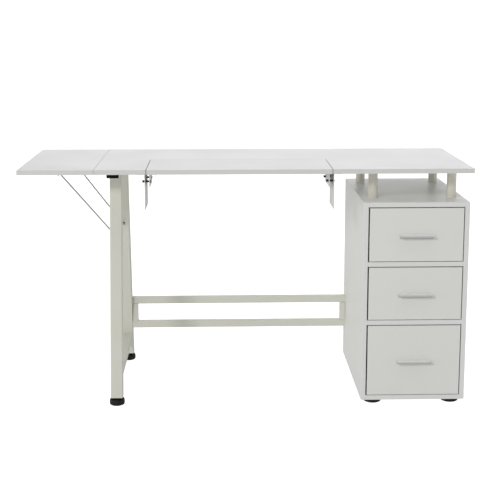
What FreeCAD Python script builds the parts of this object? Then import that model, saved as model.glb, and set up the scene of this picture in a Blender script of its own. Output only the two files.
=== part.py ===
import FreeCAD, Part
import math
import os

# Sewing table with a drop leaf, a platform that lowers for the machine, and a three-drawer pedestal.
# Millimetres. +Z is up, -Y is the front where the sewer sits, -X is the end with the drop leaf.
# The model is laid out about the middle of the top. On export it moves back by half the reach of the
# drawer handles, so that the origin is the middle of the whole footprint, on the floor.

Vector = FreeCAD.Vector
X_AXIS, Y_AXIS, Z_AXIS = Vector(1, 0, 0), Vector(0, 1, 0), Vector(0, 0, 1)

# Overall size and boards
width, depth, height = 1410.0, 500.0, 760.0
board = 15.0
edge_ease = 0.8
thin_board = 3.0
under_top = height - board
right_end, front_edge, back_edge = width / 2, -depth / 2, depth / 2

# Drop leaf and its hinges
leaf_width = 235.0
seam_x = -right_end + leaf_width
seam_gap = 0.8
hinge_y = (-180.0, 0.0, 180.0)
hinge_length, hinge_reach, hinge_sheet = 50.0, 30.0, 1.5
hinge_drop, knuckle_r, hinge_pin_r, running_gap = 4.0, 3.2, 1.5, 0.05
knuckle_clear = 4.0
knuckle_ends = ((-25.0, -9.0), (9.0, 25.0))
knuckle_middle = ((-8.6, 8.6),)
hinge_axis_x = seam_x - seam_gap / 2
hinge_axis_z = under_top - hinge_drop

# End frame: square legs that lean in towards the top, a flat rail above and a flat rail low down
tube, tube_wall, tube_round = 38.0, 1.5, 3.0
frame_x = -415.0
rail_height = 15.0
rail_half_length = 218.0
leg_top, leg_bottom = under_top - rail_height, 26.0
leg_foot_y, leg_top_y = 228.0, 108.0
lean = math.degrees(math.atan((leg_foot_y - leg_top_y) / leg_top))
lower_rail_z, lower_rail_height = 88.0, 20.0
cap_thick, cap_plug = 2.5, 12.0
insert_flange, insert_width, insert_depth = 2.0, 30.0, 16.0
glide_stem_r = 4.0

# Wire struts from the legs to the leaf; they spread apart towards the leaf
strut_r, strut_bend = 2.5, 6.0
strut_top_x, strut_top_y, strut_top_z = -590.0, 150.0, 738.0
strut_foot_x, strut_foot_y, strut_foot_z = frame_x, 111.0, 520.0
strut_hook_y, strut_outer_y = 122.0, 176.0
clip_y, clip_r = (156.0, 168.0), 7.0

# Stretcher between the rear leg and the pedestal
bar_height, bar_depth, upright_width = 25.0, 20.0, 20.0
stretcher_y = (188.0, 208.0)
stretcher_low, stretcher_high = 126.0, 239.0
bolt_r, bolt_head_r, bolt_head = 3.0, 5.5, 3.2

# Machine platform, in the front cut-out, and its slotted brackets
platform_x, cutout_half, cutout_depth = -22.5, 288.5, 225.0
platform_gap, platform_rear_gap = 2.0, 1.5
platform_drop = 0.2
platform_top = height - platform_drop
bracket_y = (-240.0, -122.0)
bracket_bolt_y = (-226.0, -142.0)
bracket_sheet, bracket_flange, bracket_round = 2.0, 25.0, 5.0
fixed_plate_x, fixed_plate_low = 291.0, 633.0
moving_plate_x, moving_plate_low = 276.5, 703.0
bracket_bolt_z, platform_travel = 721.0, 70.0
slot_width = 6.0
platform_bolt_r, spacer_r, low_head_r, low_head = 2.0, 3.2, 4.6, 2.0
knob_length, knob_small_r, knob_large_r, knob_clear = 7.0, 2.9, 4.5, 0.3
knob_grooves, knob_groove_r = 8, 0.6

# Pedestal
cabinet_x = (363.5, 695.5)
cabinet_y = (-245.0, 242.0)
cabinet_low, cabinet_high = 12.0, 653.5
divider_z = (260.0, 449.0)
foot_inset_x, foot_inset_y, foot_r = 41.0, 31.0, 28.0
post_r, post_wall = 15.0, 1.5
post_inset_x, post_inset_y = 40.0, 95.0

# Drawers
front_gap_left, front_gap_right, front_gap_top, front_gap_low = 4.5, 3.0, 3.0, 2.0
drawer_board, drawer_length = 12.0, 400.0
runner_space = 13.0
drawer_lift = 20.0
drawer_heights = (180.0, 120.0, 120.0)
drawer_names = ("lower", "middle", "upper")
runner_sheet, runner_length = 1.2, 400.0
cabinet_runner_half, cabinet_runner_reach = 17.5, 9.5
drawer_runner_half, drawer_runner_reach = 15.9, 8.5
handle_width, handle_reach, handle_back = 105.0, 20.0, 13.0
handle_lip, handle_tilt, handle_sheet = 9.0, 35.0, 1.6
handle_bend, handle_inner_bend = 2.4, 0.8

overhang = front_edge - (cabinet_y[0] - handle_reach)
origin_shift = overhang / 2


def box(x, y, z):
    """A box from three (low, high) pairs."""
    return Part.makeBox(x[1] - x[0], y[1] - y[0], z[1] - z[0], Vector(x[0], y[0], z[0]))


def run(start, length):
    """The (low, high) pair of a length that starts at a place; a negative length runs down."""
    return (min(start, start + length), max(start, start + length))


def around(middle, size):
    """The (low, high) pair of a size centred on a place."""
    return (middle - size / 2, middle + size / 2)


def panel(x, y, z):
    """A laminated board with its edges just eased."""
    solid = box(x, y, z)
    return solid.makeFillet(edge_ease, solid.Edges)


def edges_along(solid, axis):
    """The straight edges of a solid that run along an axis."""
    found = []
    for edge in solid.Edges:
        direction = edge.Vertexes[-1].Point.sub(edge.Vertexes[0].Point)
        if direction.Length > 0 and abs(direction.normalize().dot(axis)) > 0.999:
            found.append(edge)
    return found


def rounded(solid, axis, radius):
    """A solid with the edges along one axis rounded."""
    return solid.makeFillet(radius, edges_along(solid, axis))


def tube_along(axis, x, y, z):
    """A rectangular steel tube with rounded corners, open at the ends that its axis names."""
    outer = rounded(box(x, y, z), axis, tube_round)
    bore = []
    for pair, part_of_axis in zip((x, y, z), axis):
        shrink = -1.0 if part_of_axis else tube_wall
        bore.append((pair[0] + shrink, pair[1] - shrink))
    inner = rounded(box(*bore), axis, tube_round - tube_wall)
    return outer.cut(inner)


def rod(start, end, radius):
    """A round rod between two points."""
    line = end.sub(start)
    return Part.makeCylinder(radius, line.Length, start, line)


def turned(profile, centre):
    """A solid turned about the vertical through centre from (radius, height) points."""
    points = [Vector(radius, 0, rise) for radius, rise in profile]
    face = Part.Face(Part.makePolygon(points + points[:1]))
    solid = face.revolve(Vector(0, 0, 0), Z_AXIS, 360)
    solid.translate(centre)
    return solid


def bent_rod(points, radius, bend):
    """A round wire along straight runs that are joined by tangent arcs."""
    edges = []
    last = points[0]
    for before, corner, after in zip(points, points[1:], points[2:]):
        way_in = corner.sub(before).normalize()
        way_out = after.sub(corner).normalize()
        half_turn = way_in.getAngle(way_out) / 2
        setback = bend * math.tan(half_turn)
        start = corner - way_in * setback
        end = corner + way_out * setback
        inward = (way_out - way_in).normalize()
        middle = corner + inward * (bend / math.cos(half_turn) - bend)
        edges.append(Part.makeLine(last, start))
        edges.append(Part.Arc(start, middle, end).toShape())
        last = end
    edges.append(Part.makeLine(last, points[-1]))
    section = Part.Wire(Part.makeCircle(radius, points[0], points[1].sub(points[0])))
    return Part.Wire(edges).makePipeShell([section], True, True)


def mirrored_x(solid, middle):
    """A solid mirrored left to right about a plane."""
    return solid.mirror(Vector(middle, 0, 0), X_AXIS)


def group(solids):
    """Separate identical solids that share one node."""
    return Part.makeCompound(solids)


# ---- top ---------------------------------------------------------------------------------------

def table_top():
    whole = box((seam_x, right_end), (front_edge, back_edge), (under_top, height))
    cutout = box(around(platform_x, 2 * cutout_half), (front_edge - board, front_edge + cutout_depth),
                 (under_top - board, height + board))
    solid = whole.cut(cutout)
    return solid.makeFillet(edge_ease, solid.Edges)


def drop_leaf():
    return panel((-right_end, seam_x - seam_gap), (front_edge, back_edge), (under_top, height))


def machine_platform():
    return panel(around(platform_x, 2 * (cutout_half - platform_gap)),
                 (front_edge, front_edge + cutout_depth - platform_rear_gap),
                 (platform_top - board, platform_top))


def hinge_half(middle_y, side, knuckles):
    """One half of a butt hinge: side is -1 under the leaf and +1 under the top."""
    sheet_z = (under_top - hinge_sheet, under_top)
    plate = box(run(hinge_axis_x + side * knuckle_clear, side * (hinge_reach - knuckle_clear)),
                around(middle_y, hinge_length), sheet_z)
    solid = rounded(plate, Z_AXIS, 1.0)
    for low, high in knuckles:
        span = (middle_y + low, middle_y + high)
        solid = solid.fuse(box(run(hinge_axis_x, side * (knuckle_clear + 2)), span, sheet_z))
        start = Vector(hinge_axis_x, span[0], hinge_axis_z)
        solid = solid.fuse(Part.makeCylinder(knuckle_r, high - low, start, Y_AXIS))
    start = Vector(hinge_axis_x, middle_y - hinge_length, hinge_axis_z)
    bore = Part.makeCylinder(hinge_pin_r + running_gap, 2 * hinge_length, start, Y_AXIS)
    return solid.cut(bore).removeSplitter()


def hinge_pin(middle_y):
    """A pin through the knuckles with a low head at each end."""
    half = hinge_length / 2
    start = Vector(hinge_axis_x, middle_y - half - 1, hinge_axis_z)
    pin = Part.makeCylinder(hinge_pin_r, hinge_length + 2, start, Y_AXIS)
    for low in (-half - 1, half):
        head = Vector(hinge_axis_x, middle_y + low, hinge_axis_z)
        pin = pin.fuse(Part.makeCylinder(hinge_pin_r + 0.8, 1.0, head, Y_AXIS))
    return pin.removeSplitter()


# ---- end frame ---------------------------------------------------------------------------------

frame_span = around(frame_x, tube)
rail_z = (leg_top, under_top)


def leaning(solid, side):
    """Stand a piece made about the vertical axis on a leg's leaning line; side -1 is the front leg."""
    solid.rotate(Vector(0, 0, 0), X_AXIS, side * lean)
    solid.translate(Vector(frame_x, side * leg_foot_y, 0))
    return solid


def leg(side):
    square = around(0, tube)
    long_tube = tube_along(Z_AXIS, square, square, (-tube, leg_top + tube))
    keep = box(around(frame_x, 2 * tube), (2 * front_edge, 2 * back_edge), (leg_bottom, leg_top))
    return leaning(long_tube, side).common(keep)


def lower_rail():
    """A flat tube whose ends are mitred to the faces of the leaning legs."""
    rail = tube_along(Y_AXIS, frame_span, around(0, 2 * (leg_foot_y - tube / 2)),
                      run(lower_rail_z, lower_rail_height))
    square = around(0, tube)
    for side in (-1, 1):
        rail = rail.cut(leaning(box(square, square, (0, leg_top)), side))
    return rail


def top_rail():
    return tube_along(Y_AXIS, frame_span, around(0, 2 * rail_half_length), rail_z)


def rail_cap(side):
    """A push-in end cap: a flat face and a plug inside the tube."""
    face = box(frame_span, run(side * rail_half_length, side * cap_thick), rail_z)
    face = rounded(face, Y_AXIS, tube_round)
    inset = tube_wall + 0.2
    plug = box((frame_span[0] + inset, frame_span[1] - inset), run(side * rail_half_length, -side * cap_plug),
               (rail_z[0] + inset, rail_z[1] - inset))
    return face.fuse(rounded(plug, Y_AXIS, 1.0)).removeSplitter()


def leg_axis_y(side, z):
    """Where a leg's middle line is at a height."""
    return side * (leg_foot_y - (leg_foot_y - leg_top_y) * z / leg_top)


def leg_insert(side):
    """A threaded plastic plug in the open end of a leg."""
    middle_y = leg_axis_y(side, leg_bottom)
    flange = box(frame_span, around(middle_y, tube), run(leg_bottom, -insert_flange))
    flange = rounded(flange, Z_AXIS, tube_round)
    plug = box(around(frame_x, insert_width), around(middle_y, insert_width), run(leg_bottom, insert_depth))
    start = Vector(frame_x, middle_y, leg_bottom - insert_flange - 1)
    bore = Part.makeCylinder(glide_stem_r + running_gap, insert_depth + insert_flange + 2, start)
    return flange.fuse(rounded(plug, Z_AXIS, 2.0)).cut(bore).removeSplitter()


def leg_glide(side):
    """A levelling foot: a wide rounded pad on a stem that turns in the insert."""
    seat = leg_bottom - insert_flange - 0.4
    stem_top = leg_bottom + insert_depth - 2
    profile = [(0, 0), (20, 0), (22.8, 1.4), (24, 4), (24, 14), (22.8, 18), (18, 21.5), (17.5, seat),
               (glide_stem_r, seat), (glide_stem_r, stem_top), (0, stem_top)]
    return turned(profile, Vector(frame_x, leg_axis_y(side, leg_bottom), 0))


def frame_screw(y):
    """A pan-head screw up through the top rail into the top."""
    point = Part.makeCylinder(2.0, under_top + 11 - leg_top, Vector(frame_x, y, leg_top))
    head = Part.makeCylinder(4.5, 2.4, Vector(frame_x, y, leg_top - 2.4))
    return point.fuse(head.makeFillet(1.2, [head.Edges[2]])).removeSplitter()


# ---- struts ------------------------------------------------------------------------------------

def strut(side):
    """A bent wire: pivot in the leaf clip, straight run, hook that faces the leg."""
    points = [Vector(strut_top_x, side * strut_outer_y, strut_top_z),
              Vector(strut_top_x, side * strut_top_y, strut_top_z),
              Vector(strut_foot_x, side * strut_foot_y, strut_foot_z),
              Vector(strut_foot_x, side * strut_hook_y, strut_foot_z)]
    retainer = rod(points[0], points[0] - Vector(0, side * 1.5, 0), 2 * strut_r)
    return bent_rod(points, strut_r, strut_bend).fuse(retainer).removeSplitter()


def strut_clip(side):
    """A saddle under the leaf that the strut's pivot turns in."""
    y = run(side * clip_y[0], side * (clip_y[1] - clip_y[0]))
    base = rounded(box(around(strut_top_x, 40), y, (under_top - 2, under_top)), Z_AXIS, 3.0)
    lug = box(around(strut_top_x, 2 * clip_r), y, (strut_top_z, under_top - 1))
    barrel = Part.makeCylinder(clip_r, y[1] - y[0], Vector(strut_top_x, y[0], strut_top_z), Y_AXIS)
    bore = Part.makeCylinder(strut_r + running_gap, 60, Vector(strut_top_x, y[0] - 20, strut_top_z), Y_AXIS)
    return base.fuse([lug, barrel]).cut(bore).removeSplitter()


# ---- stretcher ---------------------------------------------------------------------------------

stretcher_x = (frame_span[1], cabinet_x[0])


def stretcher_bar(low):
    return tube_along(X_AXIS, stretcher_x, stretcher_y, run(low, bar_height))


def stretcher_upright(x):
    return tube_along(Z_AXIS, x, stretcher_y, (stretcher_low + bar_height, stretcher_high - bar_height))


def stretcher_uprights():
    left = stretcher_upright(run(stretcher_x[0], upright_width))
    right = stretcher_upright(run(stretcher_x[1], -upright_width))
    return group([left, right])


def stretcher_bolts():
    """Button-head bolts from outside the leg, and from inside the pedestal, into the uprights."""
    solids = []
    middle_y = sum(stretcher_y) / 2
    for seat_x, upright_x, way in ((frame_span[0], stretcher_x[0], 1), (inner_x[0], stretcher_x[1], -1)):
        reach = abs(upright_x - seat_x) + upright_width / 2
        for z in (stretcher_low + 42, stretcher_high - 42):
            seat = Vector(seat_x, middle_y, z)
            head = rod(seat, seat - X_AXIS * (way * bolt_head), bolt_head_r)
            shank = rod(seat, seat + X_AXIS * (way * reach), bolt_r)
            solids.append(head.fuse(shank).removeSplitter())
    return group(solids)


# ---- platform gear -----------------------------------------------------------------------------
# Each piece is drawn on the right-hand side of the cut-out, measured from its middle, then mirrored.

def on_side(solid, side):
    solid.translate(Vector(platform_x, 0, 0))
    return solid if side > 0 else mirrored_x(solid, platform_x)


def folded_bracket(plate, flange):
    """A steel angle: an upright plate with rounded lower corners and a flange under a board."""
    corners = []
    for edge in edges_along(plate, X_AXIS):
        if edge.CenterOfMass.z < plate.CenterOfMass.z:
            corners.append(edge)
    return plate.makeFillet(bracket_round, corners).fuse(flange).removeSplitter()


def fixed_bracket(side):
    """The slotted plate that hangs from the top."""
    plate = box(run(fixed_plate_x, bracket_sheet), bracket_y, (fixed_plate_low, under_top))
    flange = box(run(fixed_plate_x, bracket_flange), bracket_y, (under_top - bracket_sheet, under_top))
    solid = folded_bracket(plate, flange)
    through = run(fixed_plate_x - 5, 15)
    for y in bracket_bolt_y:
        low, high = bracket_bolt_z - platform_travel, bracket_bolt_z
        slot = box(through, around(y, slot_width), (low, high))
        for z in (low, high):
            end = Part.makeCylinder(slot_width / 2, 15, Vector(through[0], y, z), X_AXIS)
            slot = slot.fuse(end)
        solid = solid.cut(slot)
    return on_side(solid.removeSplitter(), side)


def platform_bracket(side):
    """The shorter plate under the platform."""
    under = platform_top - board
    plate = box(run(moving_plate_x, bracket_sheet), bracket_y, (moving_plate_low, under))
    flange = box(run(moving_plate_x + bracket_sheet, -bracket_flange), bracket_y,
                 (under - bracket_sheet, under))
    return on_side(folded_bracket(plate, flange), side)


def platform_bolt(side, y):
    """A bolt with a spacer, fixed to the platform's plate. Its knob is on the left-hand end at both sides."""
    inner, outer = moving_plate_x, fixed_plate_x + bracket_sheet + knob_clear
    if side < 0:
        seat, way, tip = inner, -1, outer + knob_length - 1.5
    else:
        seat, way, tip = outer, 1, inner - knob_clear - knob_length + 1.5
    start = Vector(seat, y, bracket_bolt_z)
    head = Part.makeCylinder(low_head_r, low_head, start, X_AXIS * way)
    far_edges = [edge for edge in head.Edges if abs(edge.CenterOfMass.x - seat) > low_head - 0.1]
    head = head.makeFillet(1.0, far_edges)
    shank = rod(start, Vector(tip, y, bracket_bolt_z), platform_bolt_r)
    spacer_end = Vector(fixed_plate_x - knob_clear, y, bracket_bolt_z)
    spacer = rod(Vector(moving_plate_x + bracket_sheet, y, bracket_bolt_z), spacer_end, spacer_r)
    return on_side(head.fuse([shank, spacer]).removeSplitter(), side)


def clamp_knob(side, y):
    """A small tapered knob with finger grooves, on the left-hand end of a bolt."""
    start_x = fixed_plate_x + bracket_sheet + knob_clear if side < 0 else moving_plate_x - knob_clear
    start = Vector(start_x, y, bracket_bolt_z)
    axis = X_AXIS * -side
    knob = Part.makeCone(knob_small_r, knob_large_r, knob_length, start, axis)
    for number in range(knob_grooves):
        angle = 2 * math.pi * number / knob_grooves
        offset = Vector(0, math.cos(angle), math.sin(angle)) * knob_large_r
        groove = Part.makeCylinder(knob_groove_r, knob_length, start + offset + axis * 2.5, axis)
        knob = knob.cut(groove)
    bore = Part.makeCylinder(platform_bolt_r + running_gap, knob_length - 1.2, start, axis)
    return on_side(knob.cut(bore), side)


# ---- pedestal ----------------------------------------------------------------------------------

inner_x = (cabinet_x[0] + board, cabinet_x[1] - board)
inner_back = cabinet_y[1] - 2 * thin_board


def cabinet_side(x):
    return panel(x, cabinet_y, (cabinet_low, cabinet_high))


def shelf(low, back=inner_back):
    return panel(inner_x, (cabinet_y[0], back), run(low, board))


def cabinet_back():
    return box(inner_x, run(inner_back, thin_board), (cabinet_low + board, cabinet_high - board))


def foot_centres():
    xs = (cabinet_x[0] + foot_inset_x, cabinet_x[1] - foot_inset_x)
    ys = (cabinet_y[0] + foot_inset_y, cabinet_y[1] - foot_inset_y)
    return [(x, y) for x in xs for y in ys]


def cabinet_foot(x, y):
    profile = [(0, 0), (foot_r - 3, 0), (foot_r - 0.8, 1), (foot_r, 3), (foot_r, 9),
               (foot_r - 1.5, cabinet_low), (0, cabinet_low)]
    return turned(profile, Vector(x, y, 0))


def post_centres():
    xs = (cabinet_x[0] + post_inset_x, cabinet_x[1] - post_inset_x)
    ys = (cabinet_y[0] + post_inset_y, cabinet_y[1] - post_inset_y)
    return [(x, y) for x in xs for y in ys]


def top_post(x, y):
    """A round steel spacer tube between the pedestal and the top."""
    base = Vector(x, y, cabinet_high)
    length = under_top - cabinet_high
    return Part.makeCylinder(post_r, length, base).cut(Part.makeCylinder(post_r - post_wall, length, base))


def post_bolt(x, y):
    """A long bolt from under the pedestal's top, through the post, into the table top."""
    low = cabinet_high - board
    shank = Part.makeCylinder(bolt_r, under_top + 11 - low, Vector(x, y, low))
    head = Part.makeCylinder(bolt_head_r, bolt_head, Vector(x, y, low - bolt_head))
    return shank.fuse(head).removeSplitter()


def channel(wall_x, way, reach, half_height, middle_z, length_y):
    """A steel runner: an upright web on wall_x with two flanges that reach out from it."""
    z = around(middle_z, 2 * half_height)
    solid = box(run(wall_x, way * reach), length_y, z)
    hollow = box(run(wall_x + way * runner_sheet, way * reach), length_y,
                 (z[0] + runner_sheet, z[1] - runner_sheet))
    return solid.cut(hollow)


def drawer_bays():
    """The (low, high) opening of each drawer, from the floor up."""
    floors = (cabinet_low + board,) + tuple(z + board for z in divider_z)
    ceilings = divider_z + (cabinet_high - board,)
    return list(zip(floors, ceilings))


def runner_z(bay):
    return bay[0] + drawer_lift + 30.0


def cabinet_runners():
    length = run(front_y[1] + 2, runner_length)
    size = (cabinet_runner_reach, cabinet_runner_half)
    solids = []
    for bay in drawer_bays():
        for wall_x, way in ((inner_x[0], 1), (inner_x[1], -1)):
            solids.append(channel(wall_x, way, *size, runner_z(bay), length))
    return group(solids)


# ---- drawers -----------------------------------------------------------------------------------

front_y = run(cabinet_y[0], board)
box_x = (inner_x[0] + runner_space, inner_x[1] - runner_space)
box_y = run(front_y[1], drawer_length)
handle_x = around(sum(cabinet_x) / 2, handle_width)


def drawer_front(bay):
    return panel((inner_x[0] + front_gap_left, inner_x[1] - front_gap_right), front_y,
                 (bay[0] + front_gap_low, bay[1] - front_gap_top))


def drawer_sides(side_z):
    left = box(run(box_x[0], drawer_board), box_y, side_z)
    right = box(run(box_x[1], -drawer_board), box_y, side_z)
    return group([rounded(left, Y_AXIS, edge_ease), rounded(right, Y_AXIS, edge_ease)])


def drawer_back(side_z):
    return box((box_x[0] + drawer_board, box_x[1] - drawer_board), run(box_y[1], -drawer_board), side_z)


def drawer_bottom(side_z):
    return box(box_x, box_y, run(side_z[0], -thin_board))


def drawer_handle(bay):
    """A folded strip: a flat back on the drawer, a ledge, and a lip that folds down and back under it."""
    top = sum(bay) / 2
    x, face = handle_x[0], cabinet_y[0]
    tilt = math.radians(handle_tilt)
    down = Vector(0, math.sin(tilt), -math.cos(tilt))
    inward = Vector(0, math.cos(tilt), math.sin(tilt))
    slant = (1 + math.sin(tilt)) / math.cos(tilt)
    rounded_off = handle_bend * (slant - 1)
    corner = Vector(x, face - handle_reach - rounded_off, top)
    lip_end = corner + down * handle_lip
    inner_corner = corner + Vector(0, handle_sheet * slant, -handle_sheet)
    inner_face = face - handle_sheet
    points = [Vector(x, face, top), corner, lip_end, lip_end + inward * handle_sheet, inner_corner,
              Vector(x, inner_face, top - handle_sheet), Vector(x, inner_face, top - handle_back),
              Vector(x, face, top - handle_back)]
    strip = Part.Face(Part.makePolygon(points + points[:1])).extrude(X_AXIS * handle_width)
    for bend, radius in ((corner, handle_bend), (inner_corner, handle_inner_bend)):
        bends = []
        for edge in edges_along(strip, X_AXIS):
            offset = edge.CenterOfMass - bend
            if abs(offset.y) < 0.1 and abs(offset.z) < 0.1:
                bends.append(edge)
        strip = strip.makeFillet(radius, bends)
    return strip


def drawer_runners(bay):
    length = run(box_y[0] + 2, runner_length - 14)
    size = (drawer_runner_reach, drawer_runner_half)
    solids = []
    for wall_x, way in ((box_x[0], -1), (box_x[1], 1)):
        solids.append(channel(wall_x, way, *size, runner_z(bay), length))
    return group(solids)


def drawer(name, bay, side_height):
    side_z = run(bay[0] + drawer_lift, side_height)
    return {
        "drawer_" + name + "_front": drawer_front(bay),
        "drawer_" + name + "_sides": drawer_sides(side_z),
        "drawer_" + name + "_back": drawer_back(side_z),
        "drawer_" + name + "_bottom": drawer_bottom(side_z),
        "drawer_" + name + "_handle": drawer_handle(bay),
        "drawer_" + name + "_runners": drawer_runners(bay),
    }


# ---- the whole table ---------------------------------------------------------------------------

# Each fastener and the pieces that it passes through or bites into
drilled = {
    "top_rail_screws": ("top_rail", "table_top"),
    "stretcher_bolts": ("stretcher_uprights", "leg_rear", "cabinet_side_left"),
    "platform_bolts": ("platform_bracket_left", "platform_bracket_right"),
    "post_bolts": ("cabinet_top", "table_top"),
}


def top_nodes():
    return {
        "table_top": table_top(),
        "drop_leaf": drop_leaf(),
        "hinge_fixed_halves": group([hinge_half(y, 1, knuckle_ends) for y in hinge_y]),
        "hinge_leaf_halves": group([hinge_half(y, -1, knuckle_middle) for y in hinge_y]),
        "hinge_pins": group([hinge_pin(y) for y in hinge_y]),
        "strut_front": strut(-1),
        "strut_rear": strut(1),
        "strut_clips": group([strut_clip(side) for side in (-1, 1)]),
    }


def frame_nodes():
    return {
        "leg_front": leg(-1),
        "leg_rear": leg(1),
        "top_rail": top_rail(),
        "lower_rail": lower_rail(),
        "top_rail_caps": group([rail_cap(side) for side in (-1, 1)]),
        "leg_inserts": group([leg_insert(side) for side in (-1, 1)]),
        "leg_glide_front": leg_glide(-1),
        "leg_glide_rear": leg_glide(1),
        "top_rail_screws": group([frame_screw(y) for y in (-180, -50, 50, 180)]),
        "stretcher_upper_bar": stretcher_bar(stretcher_high - bar_height),
        "stretcher_lower_bar": stretcher_bar(stretcher_low),
        "stretcher_uprights": stretcher_uprights(),
        "stretcher_bolts": stretcher_bolts(),
    }


def platform_nodes():
    nodes = {"machine_platform": machine_platform()}
    bolts = []
    for side, side_name in ((-1, "left"), (1, "right")):
        nodes["fixed_bracket_" + side_name] = fixed_bracket(side)
        nodes["platform_bracket_" + side_name] = platform_bracket(side)
        for y, end_name in zip(bracket_bolt_y, ("front", "rear")):
            nodes["clamp_knob_" + side_name + "_" + end_name] = clamp_knob(side, y)
            bolts.append(platform_bolt(side, y))
    nodes["platform_bolts"] = group(bolts)
    return nodes


def pedestal_nodes():
    nodes = {
        "cabinet_side_left": cabinet_side(run(cabinet_x[0], board)),
        "cabinet_side_right": cabinet_side(run(cabinet_x[1], -board)),
        "cabinet_top": shelf(cabinet_high - board, cabinet_y[1]),
        "cabinet_bottom": shelf(cabinet_low, cabinet_y[1]),
        "cabinet_dividers": group([shelf(z) for z in divider_z]),
        "cabinet_back": cabinet_back(),
        "cabinet_runners": cabinet_runners(),
        "cabinet_feet": group([cabinet_foot(x, y) for x, y in foot_centres()]),
        "top_posts": group([top_post(x, y) for x, y in post_centres()]),
        "post_bolts": group([post_bolt(x, y) for x, y in post_centres()]),
    }
    for name, bay, side_height in zip(drawer_names, drawer_bays(), drawer_heights):
        nodes.update(drawer(name, bay, side_height))
    return nodes


def write(nodes):
    """Move each node to the final origin and write its STEP file."""
    os.makedirs("parts", exist_ok=True)
    for name, shape in nodes.items():
        shape.translate(Vector(0, origin_shift, 0))
        if not shape.isValid():
            print("not valid:", name)
        shape.exportStep("parts/" + name + ".step")
    print(len(nodes), "nodes written")


all_nodes = {}
for make in (top_nodes, frame_nodes, platform_nodes, pedestal_nodes):
    all_nodes.update(make())
for fastener, hosts in drilled.items():
    for host in hosts:
        all_nodes[host] = all_nodes[host].cut(all_nodes[fastener])
write(all_nodes)
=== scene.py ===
import math

import bmesh
import bpy
from mathutils import Matrix, Vector


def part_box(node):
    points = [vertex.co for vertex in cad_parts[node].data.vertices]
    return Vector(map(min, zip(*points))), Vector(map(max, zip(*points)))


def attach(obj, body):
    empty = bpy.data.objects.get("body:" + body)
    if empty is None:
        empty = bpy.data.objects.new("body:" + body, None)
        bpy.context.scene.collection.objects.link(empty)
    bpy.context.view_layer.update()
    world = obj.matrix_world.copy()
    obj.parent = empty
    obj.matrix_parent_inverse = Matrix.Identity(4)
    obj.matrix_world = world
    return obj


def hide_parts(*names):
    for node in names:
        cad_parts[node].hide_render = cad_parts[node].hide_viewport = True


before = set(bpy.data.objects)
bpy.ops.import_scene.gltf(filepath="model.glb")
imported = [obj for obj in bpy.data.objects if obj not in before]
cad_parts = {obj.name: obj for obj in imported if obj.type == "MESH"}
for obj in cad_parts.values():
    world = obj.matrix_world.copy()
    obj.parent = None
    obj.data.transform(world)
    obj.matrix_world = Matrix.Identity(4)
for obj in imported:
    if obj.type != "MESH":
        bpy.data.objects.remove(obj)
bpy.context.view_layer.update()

MM = 0.001  # this script works in metres
TABLE, LEAF, PLATFORM = "table", "leaf", "platform"
DRAWERS = ("upper", "middle", "lower")

# ---------------------------------------------------------------------------------------------
# Materials: every one is procedural and works in the object's own coordinates. The scale of a
# noise is in repeats per metre, and the distance of a bump is in metres.
# ---------------------------------------------------------------------------------------------


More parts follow.
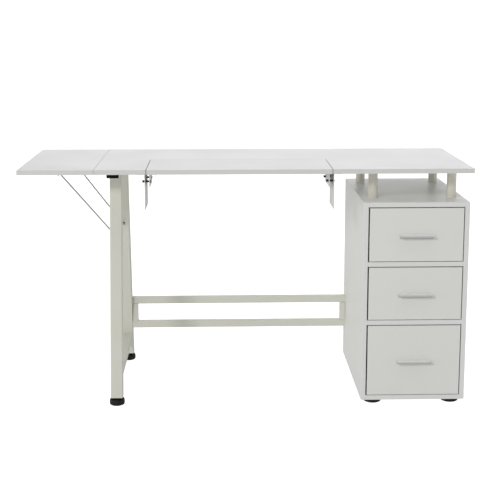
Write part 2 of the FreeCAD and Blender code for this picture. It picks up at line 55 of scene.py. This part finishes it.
class Finish:
    """A Principled material that is built up in layers of colour, roughness and bump."""

    def __init__(self, name, color, metallic=0.0, specular=0.5):
        self.material = bpy.data.materials.new(name)
        self.material.use_nodes = True
        self.tree = self.material.node_tree
        self.shader = self.tree.nodes["Principled BSDF"]
        self.shader.inputs["Metallic"].default_value = metallic
        self.shader.inputs["Specular IOR Level"].default_value = specular
        self.place = self.add("ShaderNodeTexCoord")
        base = self.add("ShaderNodeRGB")
        base.outputs[0].default_value = (*color, 1.0)
        self.color = base.outputs[0]
        self.normal = None

    def add(self, kind, **values):
        node = self.tree.nodes.new(kind)
        for key, value in values.items():
            setattr(node, key, value)
        return node

    def link(self, source, target):
        self.tree.links.new(source, target)

    def coords(self, stretch):
        """Object coordinates, stretched along an axis for a drawn or wiped texture."""
        if stretch == (1, 1, 1):
            return self.place.outputs["Object"]
        mapping = self.add("ShaderNodeMapping")
        mapping.inputs["Scale"].default_value = stretch
        self.link(self.place.outputs["Object"], mapping.inputs["Vector"])
        return mapping.outputs["Vector"]

    def noise(self, scale, detail, stretch=(1, 1, 1)):
        node = self.add("ShaderNodeTexNoise")
        node.inputs["Scale"].default_value = scale
        node.inputs["Detail"].default_value = detail
        self.link(self.coords(stretch), node.inputs["Vector"])
        return node.outputs["Fac"]

    def cells(self, scale):
        node = self.add("ShaderNodeTexVoronoi")
        node.inputs["Scale"].default_value = scale
        self.link(self.place.outputs["Object"], node.inputs["Vector"])
        return node.outputs["Distance"]

    def span(self, source, low, high, out_low, out_high):
        """Map a value from one range to another, held at the ends."""
        node = self.add("ShaderNodeMapRange")
        self.link(source, node.inputs["Value"])
        node.inputs["From Min"].default_value = low
        node.inputs["From Max"].default_value = high
        node.inputs["To Min"].default_value = out_low
        node.inputs["To Max"].default_value = out_high
        return node.outputs["Result"]

    def tint(self, factor, color):
        """Mix another colour in where the factor is high."""
        node = self.add("ShaderNodeMix", data_type="RGBA")
        self.link(factor, node.inputs["Factor"])
        self.link(self.color, node.inputs["A"])
        node.inputs["B"].default_value = (*color, 1.0)
        self.color = node.outputs["Result"]

    def blotch(self, pattern, low, high, share, color):
        """Mix a colour in, up to a share, while a pattern rises from low to high."""
        self.tint(self.span(pattern, low, high, 0.0, share), color)

    def vary_roughness(self, pattern, least, most):
        """Let the roughness follow a noise, whose values lie mostly between 0.3 and 0.7."""
        self.link(self.span(pattern, 0.3, 0.7, least, most), self.shader.inputs["Roughness"])

    def bump(self, height, distance, strength):
        node = self.add("ShaderNodeBump")
        node.inputs["Distance"].default_value = distance
        node.inputs["Strength"].default_value = strength
        self.link(height, node.inputs["Height"])
        if self.normal is not None:
            self.link(self.normal, node.inputs["Normal"])
        self.normal = node.outputs["Normal"]

    def normal_part(self, axis):
        """How much of the surface's own normal lies along an axis of the object."""
        split = self.add("ShaderNodeSeparateXYZ")
        self.link(self.place.outputs["Normal"], split.inputs["Vector"])
        return split.outputs[axis]

    def edges(self, axis):
        """1 on the edges of a board whose faces look along an axis of the object, 0 on the faces."""
        absolute = self.add("ShaderNodeMath", operation="ABSOLUTE")
        self.link(self.normal_part(axis), absolute.inputs[0])
        return self.span(absolute.outputs[0], 0.3, 0.9, 1.0, 0.0)

    def done(self):
        self.link(self.color, self.shader.inputs["Base Color"])
        self.link(self.normal, self.shader.inputs["Normal"])
        return self.material


def darker(color, share):
    return tuple(channel * share for channel in color)


def laminate(name, face, edge, axis):
    """White melamine laminate: a satin pearl texture, faint clouding, and its own tone on the edge band."""
    f = Finish(name, face, specular=0.45)
    f.blotch(f.noise(2.6, 4.0), 0.35, 0.75, 0.5, darker(face, 0.965))
    f.blotch(f.noise(1500.0, 1.0), 0.55, 0.75, 0.5, darker(face, 0.95))
    f.tint(f.edges(axis), edge)
    f.vary_roughness(f.noise(7.0, 5.0), 0.36, 0.47)
    f.bump(f.noise(7.0, 2.0), 0.0008, 0.06)
    f.bump(f.cells(620.0), 0.00006, 0.35)
    return f.done()


def powder_coat(name, color, shade, roughness=(0.36, 0.5)):
    """Powder coat over steel: orange peel, a few dust nibs and slow changes of tone."""
    f = Finish(name, color)
    f.blotch(f.noise(5.0, 5.0), 0.4, 0.75, 0.7, shade)
    f.blotch(f.noise(900.0, 2.0), 0.62, 0.8, 0.6, darker(shade, 0.9))
    f.vary_roughness(f.noise(18.0, 4.0), *roughness)
    f.bump(f.noise(230.0, 2.0), 0.0004, 0.25)
    f.bump(f.noise(1100.0, 1.0), 0.0001, 0.2)
    return f.done()


def pull_paint_painted_light(name, painted_lit_ledge, lip):
    """Powder coat with a painted highlight on a pull's flat ledge and painted shade on its folded lip."""
    f = Finish(name, lip)
    # Painted light: faces that look up (the pull's ledge) get the lighter colour as a painted highlight, and
    # the lip and the rest keep the darker colour as painted shade.
    f.blotch(f.normal_part("Z"), 0.5, 0.9, 1.0, painted_lit_ledge)
    f.vary_roughness(f.noise(18.0, 4.0), 0.3, 0.42)
    f.bump(f.noise(230.0, 2.0), 0.0003, 0.2)
    return f.done()


def zinc(name, color, stretch):
    """Zinc-plated steel: drawn lines along the metal and a cloudy passivation."""
    f = Finish(name, color, metallic=1.0)
    f.blotch(f.noise(30.0, 4.0), 0.35, 0.7, 0.6, darker(color, 0.78))
    f.blotch(f.noise(700.0, 2.0, stretch), 0.45, 0.8, 0.4, darker(color, 0.6))
    f.vary_roughness(f.noise(90.0, 3.0, stretch), 0.28, 0.5)
    f.bump(f.noise(600.0, 2.0, stretch), 0.00012, 0.4)
    return f.done()


def black_plastic(name, color=(0.006, 0.006, 0.0065), specular=0.28):
    """Moulded black plastic with a fine spark texture and paler scuffs."""
    f = Finish(name, color, specular=specular)
    f.blotch(f.noise(60.0, 6.0), 0.6, 0.85, 0.5, (0.03, 0.03, 0.031))
    f.vary_roughness(f.noise(40.0, 3.0), 0.38, 0.6)
    f.bump(f.noise(1600.0, 2.0), 0.00012, 0.6)
    return f.done()


def foil_board(name, color):
    """Foil-wrapped board with a faint grain pressed along its length."""
    f = Finish(name, color, specular=0.4)
    grain = f.noise(160.0, 5.0, (1.0, 0.06, 1.0))
    f.blotch(grain, 0.45, 0.75, 0.5, darker(color, 0.93))
    f.vary_roughness(grain, 0.42, 0.56)
    f.bump(grain, 0.0002, 0.35)
    return f.done()


def hardboard(name, color):
    """White-faced hardboard: a flat lacquer over short fibres."""
    f = Finish(name, color, specular=0.35)
    fibres = f.noise(240.0, 5.0, (1.0, 0.3, 1.0))
    f.blotch(fibres, 0.5, 0.8, 0.5, darker(color, 0.9))
    f.vary_roughness(f.noise(20.0, 4.0), 0.5, 0.65)
    f.bump(f.noise(500.0, 4.0), 0.0002, 0.3)
    return f.done()


WHITE = (0.83, 0.835, 0.83)
FRONT_WHITE = (0.80, 0.805, 0.77)
IVORY, IVORY_SHADE = (0.70, 0.702, 0.62), (0.66, 0.662, 0.58)

TOP_LAMINATE = laminate("top_laminate", WHITE, (0.70, 0.705, 0.675), "Z")
SHELF_LAMINATE = laminate("shelf_laminate", FRONT_WHITE, (0.79, 0.80, 0.78), "Z")
SIDE_LAMINATE = laminate("side_laminate", FRONT_WHITE, (0.79, 0.80, 0.78), "X")
FRONT_LAMINATE = laminate("front_laminate", FRONT_WHITE, (0.75, 0.755, 0.735), "Y")
FRAME_PAINT = powder_coat("frame_paint", IVORY, IVORY_SHADE)
BRACKET_PAINT = powder_coat("bracket_paint", (0.72, 0.725, 0.69), (0.66, 0.665, 0.63))
POST_PAINT = powder_coat("post_paint", (0.76, 0.74, 0.64), (0.73, 0.71, 0.61), (0.28, 0.4))
# The pulls' lighter ledge colour is a painted highlight, and their darker lip colour is painted shade.
HANDLE_PAINT_PAINTED_LIGHT = pull_paint_painted_light("handle_paint", (0.83, 0.835, 0.82), (0.55, 0.555, 0.54))
RUNNER_PAINT = powder_coat("runner_paint", (0.78, 0.78, 0.75), (0.72, 0.72, 0.69), (0.3, 0.45))
ZINC = zinc("zinc_steel", (0.60, 0.61, 0.60), (1, 1, 1))
WIRE_ZINC = zinc("wire_zinc", (0.56, 0.565, 0.53), (1, 1, 0.1))
BLACK_STEEL = black_plastic("black_steel", (0.010, 0.010, 0.0105))
BLACK_PLASTIC = black_plastic("black_plastic")
CAP_PLASTIC = black_plastic("cap_plastic", (0.004, 0.004, 0.0042), 0.12)
DRAWER_BOARD = foil_board("drawer_board", (0.80, 0.80, 0.785))
HARDBOARD = hardboard("hardboard", (0.79, 0.79, 0.77))

NODE_FINISH = {
    "table_top": TOP_LAMINATE, "drop_leaf": TOP_LAMINATE, "machine_platform": TOP_LAMINATE,
    "hinge_fixed_halves": ZINC, "hinge_leaf_halves": ZINC, "hinge_pins": ZINC,
    "strut_front": WIRE_ZINC, "strut_rear": WIRE_ZINC, "strut_clips": BLACK_PLASTIC,
    "leg_front": FRAME_PAINT, "leg_rear": FRAME_PAINT, "top_rail": FRAME_PAINT, "lower_rail": FRAME_PAINT,
    "top_rail_caps": CAP_PLASTIC, "leg_inserts": BLACK_PLASTIC, "top_rail_screws": ZINC,
    "leg_glide_front": BLACK_PLASTIC, "leg_glide_rear": BLACK_PLASTIC,
    "stretcher_upper_bar": FRAME_PAINT, "stretcher_lower_bar": FRAME_PAINT,
    "stretcher_uprights": FRAME_PAINT, "stretcher_bolts": ZINC,
    "fixed_bracket_left": BRACKET_PAINT, "fixed_bracket_right": BRACKET_PAINT,
    "platform_bracket_left": BRACKET_PAINT, "platform_bracket_right": BRACKET_PAINT,
    "platform_bolts": BLACK_STEEL,
    "clamp_knob_left_front": BLACK_PLASTIC, "clamp_knob_left_rear": BLACK_PLASTIC,
    "clamp_knob_right_front": BLACK_PLASTIC, "clamp_knob_right_rear": BLACK_PLASTIC,
    "cabinet_side_left": SIDE_LAMINATE, "cabinet_side_right": SIDE_LAMINATE,
    "cabinet_top": SHELF_LAMINATE, "cabinet_bottom": SHELF_LAMINATE, "cabinet_dividers": SHELF_LAMINATE,
    "cabinet_back": HARDBOARD, "cabinet_runners": RUNNER_PAINT, "cabinet_feet": BLACK_PLASTIC,
    "top_posts": POST_PAINT, "post_bolts": ZINC,
}
for drawer in DRAWERS:
    NODE_FINISH["drawer_" + drawer + "_front"] = FRONT_LAMINATE
    NODE_FINISH["drawer_" + drawer + "_sides"] = DRAWER_BOARD
    NODE_FINISH["drawer_" + drawer + "_back"] = DRAWER_BOARD
    NODE_FINISH["drawer_" + drawer + "_bottom"] = HARDBOARD
    NODE_FINISH["drawer_" + drawer + "_handle"] = HANDLE_PAINT_PAINTED_LIGHT
    NODE_FINISH["drawer_" + drawer + "_runners"] = RUNNER_PAINT

for node_name, finish in NODE_FINISH.items():
    node_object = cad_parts[node_name]
    node_object.data.materials.clear()
    node_object.data.materials.append(finish)

# ---------------------------------------------------------------------------------------------
# Mesh tools
# ---------------------------------------------------------------------------------------------


def piece(name, mesh, body, material, sharp_from=35):
    """Put a mesh into the scene as a piece of the object that rides on a body."""
    mesh.materials.clear()
    mesh.materials.append(material)
    mesh.shade_smooth()
    mesh.set_sharp_from_angle(angle=math.radians(sharp_from))
    obj = bpy.data.objects.new(name, mesh)
    bpy.context.collection.objects.link(obj)
    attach(obj, body)
    return obj


def mesh_from(bm, name):
    """Close a working mesh: weld its doubles, turn its faces outwards and hand it over."""
    bmesh.ops.remove_doubles(bm, verts=bm.verts, dist=1e-7)
    bmesh.ops.recalc_face_normals(bm, faces=bm.faces)
    mesh = bpy.data.meshes.new(name)
    bm.to_mesh(mesh)
    bm.free()
    return mesh


def skin(bm, rings):
    """Walls between rings of vertices, and a face over each end."""
    for low, high in zip(rings, rings[1:]):
        for i in range(len(low)):
            j = (i + 1) % len(low)
            bm.faces.new((low[i], low[j], high[j], high[i]))
    bm.faces.new(rings[0])
    bm.faces.new(rings[-1])


def lathe(profile, segments, flute_count=0, flute_depth=0.0, flute_band=None):
    """A closed solid turned about Z from (radius, height) points, with flutes cut in a band of heights."""
    bm = bmesh.new()
    rings = []
    for radius, height in profile:
        ring = []
        for i in range(segments):
            angle = 2 * math.pi * i / segments
            r = radius
            if flute_count and flute_band[0] <= height <= flute_band[1]:
                r -= flute_depth * (0.5 - 0.5 * math.cos(flute_count * angle))
            ring.append(bm.verts.new((r * math.cos(angle), r * math.sin(angle), height)))
        rings.append(ring)
    skin(bm, rings)
    return bm


def cut(body, tool, name):
    """A mesh of one working mesh with another taken out of it."""
    objects = []
    for bm, label in ((body, "body"), (tool, "tool")):
        mesh = mesh_from(bm, label)
        obj = bpy.data.objects.new(label, mesh)
        bpy.context.collection.objects.link(obj)
        objects.append(obj)
    modifier = objects[0].modifiers.new("cut", "BOOLEAN")
    modifier.operation, modifier.solver, modifier.object = "DIFFERENCE", "EXACT", objects[1]
    modifier.use_self = True  # the two bars of a cross recess overlap each other
    graph = bpy.context.evaluated_depsgraph_get()
    mesh = bpy.data.meshes.new_from_object(objects[0].evaluated_get(graph))
    mesh.name = name
    for obj in objects:
        bpy.data.objects.remove(obj)
    return mesh


def merged(meshes_and_places, name):
    """One mesh from copies of other meshes at given matrices."""
    bm = bmesh.new()
    for mesh, matrix in meshes_and_places:
        copy = mesh.copy()
        copy.transform(matrix)
        bm.from_mesh(copy)
        bpy.data.meshes.remove(copy)
    mesh = bpy.data.meshes.new(name)
    bm.to_mesh(mesh)
    bm.free()
    return mesh


def facing(position, direction, spin=0.0):
    """The matrix that turns +Z to a direction and moves to a position."""
    turn = Vector(direction).to_track_quat("Z", "Y").to_matrix().to_4x4()
    return Matrix.Translation(position) @ turn @ Matrix.Rotation(spin, 4, "Z")


def bead(start, end, radius, ripples):
    """A weld bead between two points: a thin rod with overlapping ripples and tapered ends."""
    start, end = Vector(start), Vector(end)
    steps, segments = ripples * 6, 12
    ripple_depth, sway_share, sway_rate = 0.16, 0.12, 5.3
    end_share, growth = 0.35, 8.0
    turn = (end - start).to_track_quat("Z", "Y").to_matrix()
    bm = bmesh.new()
    rings = []
    for i in range(steps + 1):
        t = i / steps
        ripple = 1.0 - ripple_depth * (1.0 - abs(math.sin(math.pi * ripples * t)))
        taper = min(1.0, end_share + growth * min(t, 1 - t))
        r = radius * ripple * taper
        sway = sway_share * radius * math.sin(sway_rate * ripples * t)
        ring = []
        for k in range(segments):
            angle = 2 * math.pi * k / segments
            offset = turn @ Vector((r * math.cos(angle) + sway, r * math.sin(angle), 0))
            ring.append(bm.verts.new(start.lerp(end, t) + offset))
        rings.append(ring)
    skin(bm, rings)
    return mesh_from(bm, "bead")


def cross_tool(reach, width, depth, top):
    """A cross-shaped driver's tip, tapered downwards."""
    tip_share = 0.55
    bm = bmesh.new()
    for size in ((2 * reach, width, 2 * depth), (width, 2 * reach, 2 * depth)):
        result = bmesh.ops.create_cube(bm, size=1.0)
        bmesh.ops.scale(bm, vec=size, verts=result["verts"])
        bmesh.ops.translate(bm, vec=(0, 0, top), verts=result["verts"])
        for vert in result["verts"]:
            if vert.co.z < top:
                vert.co.x *= tip_share
                vert.co.y *= tip_share
    return bm


HEAD_SEGMENTS = 28
SINK = 0.2 * MM  # how far a head reaches into the face that it sits on


def pan_screw(radius, height, name):
    """A pan head with a cross recess, standing on z = 0."""
    profile = [(radius, -SINK), (radius, height * 0.35), (radius * 0.9, height * 0.72)]
    profile += [(radius * 0.62, height * 0.94), (radius * 0.3, height)]
    tool = cross_tool(radius * 0.55, radius * 0.2, height * 0.62, height)
    return cut(lathe(profile, HEAD_SEGMENTS), tool, name)


def flat_disc(radius, height, name, slot_width=0.0):
    """A low disc, such as a cam lock or a nail head, with a cross cut into it if asked."""
    profile = [(radius, -SINK), (radius, height * 0.6), (radius - height * 0.4, height)]
    disc = lathe(profile, HEAD_SEGMENTS)
    if not slot_width:
        return mesh_from(disc, name)
    return cut(disc, cross_tool(radius * 0.6, slot_width, height * 0.9, height), name)


SCREW = pan_screw(3.6 * MM, 1.5 * MM, "pan_screw")
SMALL_SCREW = pan_screw(3.0 * MM, 1.2 * MM, "small_screw")
CAM = flat_disc(7.4 * MM, 0.7 * MM, "cam_lock", 1.7 * MM)
NAIL = flat_disc(2.4 * MM, 0.35 * MM, "nail_head")


def scatter(name, mesh, places, body):
    """Zinc-plated copies of one fixing at (position, direction) places, each turned a bit further."""
    turn_step = 0.7
    copies = []
    for number, (position, direction) in enumerate(places):
        copies.append((mesh, facing(position, direction, turn_step * number)))
    piece(name, merged(copies, name), body, ZINC)


# ---------------------------------------------------------------------------------------------
# Fixings and small details, placed from the CAD nodes' boxes
# ---------------------------------------------------------------------------------------------

DOWN = Vector((0, 0, -1))
LEFT, RIGHT = Vector((-1, 0, 0)), Vector((1, 0, 0))
REAR = Vector((0, 1, 0))
BRACKET_SHEET, HINGE_SHEET = 2 * MM, 1.5 * MM
HINGE_SPACING = 180 * MM
DRAWER_BOARD_THICKNESS, CABINET_BOARD_THICKNESS = 12 * MM, 15 * MM


def middle(node):
    low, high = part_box(node)
    return (Vector(low) + Vector(high)) / 2


def hinge_screws():
    """Three screws through each half of the three butt hinges."""
    near_edge, far_edge, half_spread = 7 * MM, 19 * MM, 17 * MM
    centre_y = middle("table_top").y
    for node, body, edge in (("hinge_fixed_halves", TABLE, 1), ("hinge_leaf_halves", LEAF, 0)):
        low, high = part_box(node)
        sheet_bottom = high[2] - HINGE_SHEET
        outer = high[0] - near_edge if edge else low[0] + near_edge
        inner = high[0] - far_edge if edge else low[0] + far_edge
        places = []
        for hinge_y in (-HINGE_SPACING, 0, HINGE_SPACING):
            for x, dy in ((outer, -half_spread), (outer, half_spread), (inner, 0)):
                places.append(((x, centre_y + hinge_y + dy, sheet_bottom), DOWN))
        scatter(node + "_screws", SCREW, places, body)


def bracket_screws():
    """Screws through the flanges of the slotted brackets and of the platform's brackets."""
    inset = 9 * MM
    for side, way in (("left", -1), ("right", 1)):
        for kind, body, flip in (("fixed", TABLE, 1), ("platform", PLATFORM, -1)):
            node = kind + "_bracket_" + side
            low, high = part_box(node)
            x = high[0] - inset if way * flip > 0 else low[0] + inset
            places = []
            for share in (0.14, 0.5, 0.86):
                y = low[1] + (high[1] - low[1]) * share
                places.append(((x, y, high[2] - BRACKET_SHEET), DOWN))
            scatter(node + "_screws", SCREW, places, body)


def clip_screws():
    """Two screws hold each strut clip under the leaf."""
    inset, half_spread, ear = 6 * MM, 14 * MM, 2 * MM
    low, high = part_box("strut_clips")
    centre = (low[0] + high[0]) / 2
    places = []
    for y in (low[1] + inset, high[1] - inset):
        for dx in (-half_spread, half_spread):
            places.append(((centre + dx, y, high[2] - ear), DOWN))
    scatter("strut_clip_screws", SMALL_SCREW, places, LEAF)


def drawer_fixings(drawer):
    """Cam locks inside the drawer's sides, screws into its back, and the pull's two screws."""
    cam_inset_y, cam_inset_z, screw_inset_z = 30 * MM, 26 * MM, 30 * MM
    pull_inset_x, pull_drop = 14 * MM, 9 * MM
    body = "drawer_" + drawer
    low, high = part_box(body + "_sides")
    cams = []
    for z in (low[2] + cam_inset_z, high[2] - cam_inset_z):
        cams.append(((low[0] + DRAWER_BOARD_THICKNESS, low[1] + cam_inset_y, z), RIGHT))
        cams.append(((high[0] - DRAWER_BOARD_THICKNESS, low[1] + cam_inset_y, z), LEFT))
    scatter(body + "_cams", CAM, cams, body)
    screws = []
    for z in (low[2] + screw_inset_z, high[2] - screw_inset_z):
        screws.append(((low[0], high[1] - DRAWER_BOARD_THICKNESS / 2, z), LEFT))
        screws.append(((high[0], high[1] - DRAWER_BOARD_THICKNESS / 2, z), RIGHT))
    pull_low, pull_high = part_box(body + "_handle")
    inner_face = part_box(body + "_front")[1][1]
    for x in (pull_low[0] + pull_inset_x, pull_high[0] - pull_inset_x):
        screws.append(((x, inner_face, pull_high[2] - pull_drop), REAR))
    scatter(body + "_screws", SCREW, screws, body)


def back_nails():
    """Flat nails down both edges of the pedestal's back panel and along its dividers."""
    rows, inset_x, inset_z = 7, 5 * MM, 20 * MM
    low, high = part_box("cabinet_back")
    face = high[1]
    places = []
    for row in range(rows):
        z = low[2] + inset_z + row * (high[2] - low[2] - 2 * inset_z) / (rows - 1)
        places.append(((low[0] + inset_x, face, z), REAR))
        places.append(((high[0] - inset_x, face, z), REAR))
    divider_low, divider_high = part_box("cabinet_dividers")
    half_board = CABINET_BOARD_THICKNESS / 2
    for z in (divider_low[2] + half_board, divider_high[2] - half_board):
        for share in (0.25, 0.5, 0.75):
            places.append(((low[0] + share * (high[0] - low[0]), face, z), REAR))
    scatter("cabinet_back_nails", NAIL, places, TABLE)


def frame_welds():
    """Weld beads where the legs meet the top rail and the lower rail, and on the stretcher's uprights."""
    leg_across = 38.5 * MM  # a leg's slanted tube, measured along Y
    slant_inset = 3.3 * MM  # how much closer the legs stand at the top of the lower rail
    end_gap, upright_width = 2 * MM, 20 * MM
    beads = []
    rail_low, rail_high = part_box("top_rail")
    left, right = rail_low[0] + end_gap, rail_high[0] - end_gap
    for node, side in (("leg_front", -1), ("leg_rear", 1)):
        low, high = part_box(node)
        inner_top = low[1] if side > 0 else high[1]
        for y in (inner_top, inner_top + side * leg_across):
            beads.append(bead((left, y, rail_low[2]), (right, y, rail_low[2]), 1.7 * MM, 9))
    low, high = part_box("lower_rail")
    for y_end, side in ((low[1], -1), (high[1], 1)):
        for z, inset in ((low[2], 0.0), (high[2], slant_inset)):
            y = y_end - side * inset
            beads.append(bead((left, y, z), (right, y, z), 1.5 * MM, 9))
    low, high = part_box("stretcher_uprights")
    for x in (low[0] + upright_width, high[0] - upright_width):
        for z in (low[2], high[2]):
            beads.append(bead((x, low[1] + end_gap, z), (x, high[1] - end_gap, z), 1.2 * MM, 5))
    joined = merged([(mesh, Matrix.Identity(4)) for mesh in beads], "frame_welds")
    piece("frame_welds", joined, TABLE, FRAME_PAINT, sharp_from=60)


def strut_grommets():
    """Black bushes in the legs where the struts hook in."""
    wire_radius, hook_y, gap = 2.5 * MM, 122.0 * MM, 1.7 * MM
    rim, lip, hole = 4.6 * MM, 3.9 * MM, 2.0 * MM
    profile = [(rim, 0.0), (rim, 1.0 * MM), (lip, 1.3 * MM), (hole, 1.3 * MM), (hole, 0.7 * MM)]
    centre_y = middle("table_top").y
    copies = []
    for node, side in (("strut_front", -1), ("strut_rear", 1)):
        low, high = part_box(node)
        place = (high[0] - wire_radius, centre_y + side * hook_y + side * gap, low[2] + wire_radius)
        copies.append((mesh_from(lathe(profile, 24), "bush"), facing(place, (0, -side, 0))))
    piece("strut_grommets", merged(copies, "strut_grommets"), TABLE, BLACK_PLASTIC)


def glide(node, body):
    """A levelling glide with a fluted rim, a hexagon for the spanner and a threaded stem."""
    low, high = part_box(node)
    centre = middle(node)
    r = (high[0] - low[0]) / 2
    rim = [(r - 4 * MM, 0.0), (r - 1.2 * MM, 1.4 * MM), (r, 4 * MM), (r, 7 * MM), (r, 11 * MM), (r, 14 * MM)]
    crown = [(r - 1.4 * MM, 18 * MM), (r - 6 * MM, 21.2 * MM), (10.5 * MM, 21.6 * MM)]
    pad = lathe(rim + crown, 144, flute_count=36, flute_depth=0.7 * MM, flute_band=(3 * MM, 15 * MM))
    hexagon = lathe([(8.4 * MM, 21.4 * MM), (8.4 * MM, 23.4 * MM), (7.6 * MM, 23.8 * MM)], 6)
    crest, root, thread_pitch = 3.9 * MM, 3.4 * MM, 1.2 * MM
    stem = []
    height = 23.6 * MM
    while height < high[2] - 1.5 * MM:
        stem.append((crest, height))
        stem.append((root, height + thread_pitch / 2))
        height += thread_pitch
    parts = [mesh_from(bm, "part") for bm in (pad, hexagon, lathe(stem, 24))]
    place = Matrix.Translation((centre.x, centre.y, 0))
    joined = merged([(mesh, place) for mesh in parts], node + "_shape")
    obj = piece(node + "_shape", joined, body, BLACK_PLASTIC, sharp_from=40)
    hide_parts(node)


hinge_screws()
bracket_screws()
clip_screws()
for drawer in DRAWERS:
    drawer_fixings(drawer)
back_nails()
frame_welds()
strut_grommets()
glide("leg_glide_front", "glide_front")
glide("leg_glide_rear", "glide_rear")

# ---------------------------------------------------------------------------------------------
# Floor, light and camera
# ---------------------------------------------------------------------------------------------


def by_ray(tree, seen, given):
    """A strength that is one value where the camera looks and another for the light it gives."""
    path = tree.nodes.new("ShaderNodeLightPath")
    mix = tree.nodes.new("ShaderNodeMix")
    mix.inputs["A"].default_value = given
    mix.inputs["B"].default_value = seen
    tree.links.new(path.outputs["Is Camera Ray"], mix.inputs["Factor"])
    return mix.outputs["Result"]


def studio_floor():
    """A plain pale floor that is bright enough to melt into the background."""
    half, below_feet = 40.0, 0.5 * MM
    mesh = bpy.data.meshes.new("studio_floor")
    corners = [(-half, -half, 0), (half, -half, 0), (half, half, 0), (-half, half, 0)]
    mesh.from_pydata(corners, [], [(0, 1, 2, 3)])
    material = bpy.data.materials.new("studio_floor")
    material.use_nodes = True
    shader = material.node_tree.nodes["Principled BSDF"]
    shader.inputs["Base Color"].default_value = (0.5, 0.5, 0.5, 1.0)
    shader.inputs["Roughness"].default_value = 0.9
    shader.inputs["Specular IOR Level"].default_value = 0.0
    shader.inputs["Emission Color"].default_value = (1.0, 1.0, 1.0, 1.0)
    strength = by_ray(material.node_tree, seen=0.95, given=0.3)
    material.node_tree.links.new(strength, shader.inputs["Emission Strength"])
    mesh.materials.append(material)
    floor = bpy.data.objects.new("studio_floor", mesh)
    bpy.context.collection.objects.link(floor)
    floor.location.z = -below_feet


def studio_world():
    """A white background, which lights the table much less than it shows."""
    world = bpy.data.worlds.new("studio")
    world.use_nodes = True
    bpy.context.scene.world = world
    background = world.node_tree.nodes["Background"]
    background.inputs["Color"].default_value = (1.0, 1.0, 1.0, 1.0)
    strength = by_ray(world.node_tree, seen=1.05, given=0.33)
    world.node_tree.links.new(strength, background.inputs["Strength"])


def softbox(name, place, target, size, power):
    """A white rectangular light, aimed at a target and hidden from the camera. Power is in watts."""
    light = bpy.data.lights.new(name, "AREA")
    light.shape = "RECTANGLE"
    light.size, light.size_y = size
    light.energy = power
    obj = bpy.data.objects.new(name, light)
    bpy.context.collection.objects.link(obj)
    obj.location = place
    obj.visible_camera = False
    obj.rotation_euler = (Vector(target) - Vector(place)).to_track_quat("-Z", "Y").to_euler()


def camera():
    """The eye stands in front of the table, a little left of its middle, above the height of the top."""
    yaw, pitch = 0.0298, -0.1667
    data = bpy.data.cameras.new("camera")
    data.lens = 75.74
    data.sensor_width = 36.0
    data.shift_y = -0.12
    data.clip_end = 200.0
    obj = bpy.data.objects.new("camera", data)
    bpy.context.collection.objects.link(obj)
    obj.location = (-0.0861, -3.4359, 1.2339)
    forward = Vector((math.sin(yaw) * math.cos(pitch), math.cos(yaw) * math.cos(pitch), math.sin(pitch)))
    obj.rotation_euler = forward.to_track_quat("-Z", "Y").to_euler()
    bpy.context.scene.camera = obj


studio_floor()
studio_world()
softbox("key", (-4.4, -7.3, 4.8), (0.4, -0.2, 0.5), (1.4, 1.4), 252.0)
softbox("overhead", (0.6, 0.2, 3.3), (0.3, 0.1, 0.7), (4.0, 2.6), 31.0)
softbox("front_fill", (-0.5, -4.6, 1.3), (0.2, 0.0, 0.5), (4.0, 2.4), 6.0)
softbox("left_fill", (-4.8, -1.0, 0.8), (0.4, 0.0, 0.4), (3.0, 1.5), 46.0)
softbox("right_fill", (4.8, -0.3, 0.9), (0.4, 0.0, 0.4), (3.0, 1.5), 22.0)
softbox("rear_fill", (0.6, 4.6, 2.2), (0.0, 0.0, 0.6), (4.8, 2.4), 38.0)
camera()
bpy.context.scene.view_settings.view_transform = "Standard"
